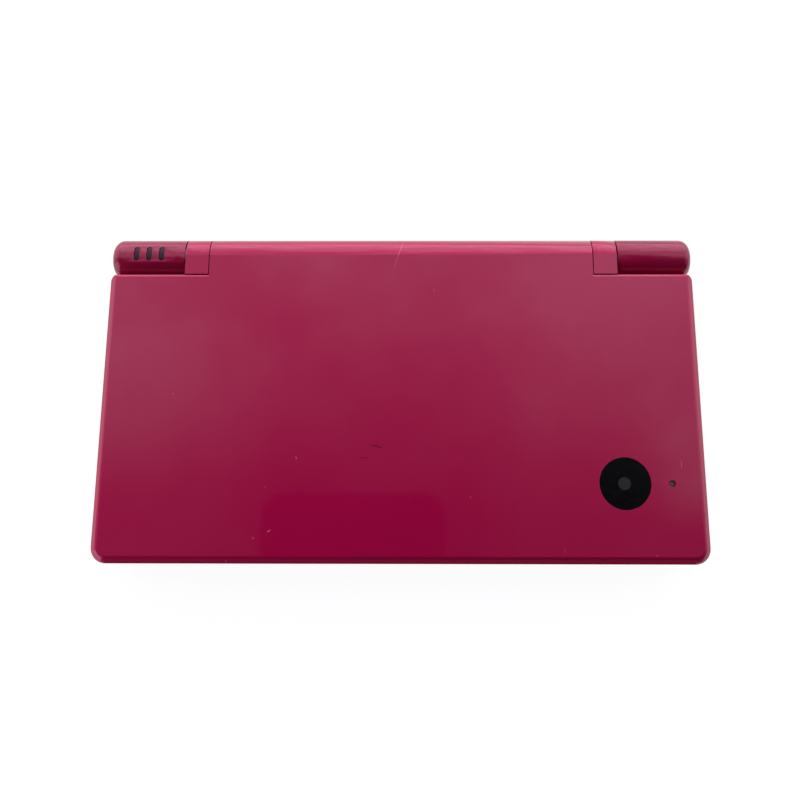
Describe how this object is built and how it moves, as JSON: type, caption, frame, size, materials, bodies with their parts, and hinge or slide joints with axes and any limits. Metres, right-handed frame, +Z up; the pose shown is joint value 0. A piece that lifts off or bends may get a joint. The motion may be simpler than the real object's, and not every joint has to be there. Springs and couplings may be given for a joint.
{
  "type": "clamshell handheld game console",
  "caption": "Folding handheld game console with a glossy metallic lid, screens inside, push buttons, stylus, camera window and a friction hinge.",
  "frame": {"origin": "on the table, under the middle of the closed case", "axes": "+X to the player's right along the hinge, +Y towards the hinge, +Z up"},
  "size_m": [0.1376, 0.0749, 0.0189],
  "materials": {
    "shell": "glossy metallic magenta paint under clear coat",
    "button": "satin magenta plastic",
    "stylus": "satin magenta plastic",
    "camera_glass": "polished, near black",
    "screen_lens": "polished smoked cover",
    "touch": "satin film over glass",
    "lcd": "dark display glass, switched off",
    "steel": "thin sheet and turned pins",
    "board": "green solder mask on glass fibre board",
    "black_plastic": "moulded, matt",
    "light_guide": "smoked translucent, unlit",
    "silicone": "silicone domes",
    "rubber": "matt tinted rubber",
    "ribbon": "amber film with copper tracks",
    "battery": "wrapped lithium cell",
    "switch": "small push switches"
  },
  "bodies": {
    "base": {"base_upper_shell": "shell", "base_lower_shell": "shell", "battery_cover": "shell", "battery_cover_screws": "steel", "battery_pack": "battery", "main_board": "board", "board_shields": "steel", "lower_lcd_panel": "lcd", "lower_lcd_frame": "steel", "touch_panel": "touch", "d_pad_membrane": "silicone", "face_button_membrane": "silicone", "menu_button_membranes": "silicone", "card_slot_cage": "steel", "memory_slot_cage": "steel", "headphone_socket": "black_plastic", "charging_socket": "black_plastic", "hinge_unit": "steel", "hinge_sleeve": "steel", "indicator_light_guide": "light_guide", "tact_switches": "switch", "case_screws": "steel", "rubber_feet": "rubber", "shoulder_pins": "steel", "shoulder_springs": "steel", "memory_cover_pin": "steel", "board_flex": "ribbon"},
    "lid": {"lid_outer_shell": "shell", "lid_inner_shell": "shell", "camera_window": "camera_glass", "camera_module": "black_plastic", "camera_light_pipe": "light_guide", "upper_screen_lens": "screen_lens", "upper_lcd_panel": "lcd", "upper_lcd_frame": "steel", "speaker_left": "black_plastic", "speaker_right": "black_plastic", "inner_camera_window": "camera_glass", "inner_camera_module": "black_plastic", "microphone": "steel", "lid_screws": "steel", "lid_bumpers": "rubber", "display_flex": "ribbon", "hinge_shaft": "steel"},
    "d_pad_pivot": {"d_pad_pivot": "silicone"},
    "d_pad": {"d_pad": "button"},
    "button_a": {"button_a": "button"},
    "button_b": {"button_b": "button"},
    "button_x": {"button_x": "button"},
    "button_y": {"button_y": "button"},
    "button_start": {"button_start": "button"},
    "button_select": {"button_select": "button"},
    "button_power": {"button_power": "button"},
    "shoulder_left": {"shoulder_left": "button"},
    "shoulder_right": {"shoulder_right": "button"},
    "volume_up": {"volume_up": "button"},
    "volume_down": {"volume_down": "button"},
    "stylus": {"stylus": "stylus"},
    "memory_cover": {"memory_cover": "shell"}
  },
  "joints": [
    {"name": "lid_hinge", "type": "hinge", "parent": "base", "child": "lid", "pos_m": [0, 0.0327, 0.01415], "axis": [-1, 0, 0], "range_deg": [0, 160]},
    {"name": "d_pad_tilt_front_back", "type": "hinge", "parent": "base", "child": "d_pad_pivot", "pos_m": [-0.051, 0.0065, 0.0087], "axis": [1, 0, 0], "range_deg": [-2.5, 2.5], "stiffness_Nm_per_rad": 0.25},
    {"name": "d_pad_tilt_side", "type": "hinge", "parent": "d_pad_pivot", "child": "d_pad", "pos_m": [-0.051, 0.0065, 0.0087], "axis": [0, 1, 0], "range_deg": [-2.5, 2.5], "stiffness_Nm_per_rad": 0.25},
    {"name": "button_a_press", "type": "slide", "parent": "base", "child": "button_a", "axis": [0, 0, -1], "range_m": [0, 0.00045], "stiffness_N_per_m": 3000},
    {"name": "button_b_press", "type": "slide", "parent": "base", "child": "button_b", "axis": [0, 0, -1], "range_m": [0, 0.00045], "stiffness_N_per_m": 3000},
    {"name": "button_x_press", "type": "slide", "parent": "base", "child": "button_x", "axis": [0, 0, -1], "range_m": [0, 0.00045], "stiffness_N_per_m": 3000},
    {"name": "button_y_press", "type": "slide", "parent": "base", "child": "button_y", "axis": [0, 0, -1], "range_m": [0, 0.00045], "stiffness_N_per_m": 3000},
    {"name": "button_start_press", "type": "slide", "parent": "base", "child": "button_start", "axis": [0, 0, -1], "range_m": [0, 0.0003], "stiffness_N_per_m": 4000},
    {"name": "button_select_press", "type": "slide", "parent": "base", "child": "button_select", "axis": [0, 0, -1], "range_m": [0, 0.0003], "stiffness_N_per_m": 4000},
    {"name": "button_power_press", "type": "slide", "parent": "base", "child": "button_power", "axis": [0, 0, -1], "range_m": [0, 0.0003], "stiffness_N_per_m": 4000},
    {"name": "shoulder_left_press", "type": "hinge", "parent": "base", "child": "shoulder_left", "pos_m": [-0.054, 0.0346, 0.0058], "axis": [0, 0, 1], "range_deg": [0, 2], "stiffness_Nm_per_rad": 0.5},
    {"name": "shoulder_right_press", "type": "hinge", "parent": "base", "child": "shoulder_right", "pos_m": [0.054, 0.0346, 0.0058], "axis": [0, 0, -1], "range_deg": [0, 2], "stiffness_Nm_per_rad": 0.5},
    {"name": "volume_up_press", "type": "slide", "parent": "base", "child": "volume_up", "axis": [1, 0, 0], "range_m": [0, 0.0004], "stiffness_N_per_m": 4000},
    {"name": "volume_down_press", "type": "slide", "parent": "base", "child": "volume_down", "axis": [1, 0, 0], "range_m": [0, 0.0004], "stiffness_N_per_m": 4000},
    {"name": "stylus_slide", "type": "slide", "parent": "base", "child": "stylus", "axis": [1, 0, 0], "range_m": [0, 0.09]},
    {"name": "memory_cover_hinge", "type": "hinge", "parent": "base", "child": "memory_cover", "pos_m": [0.0672, 0.0199, 0.0046], "axis": [0, 0, 1], "range_deg": [0, 90]}
  ]
}
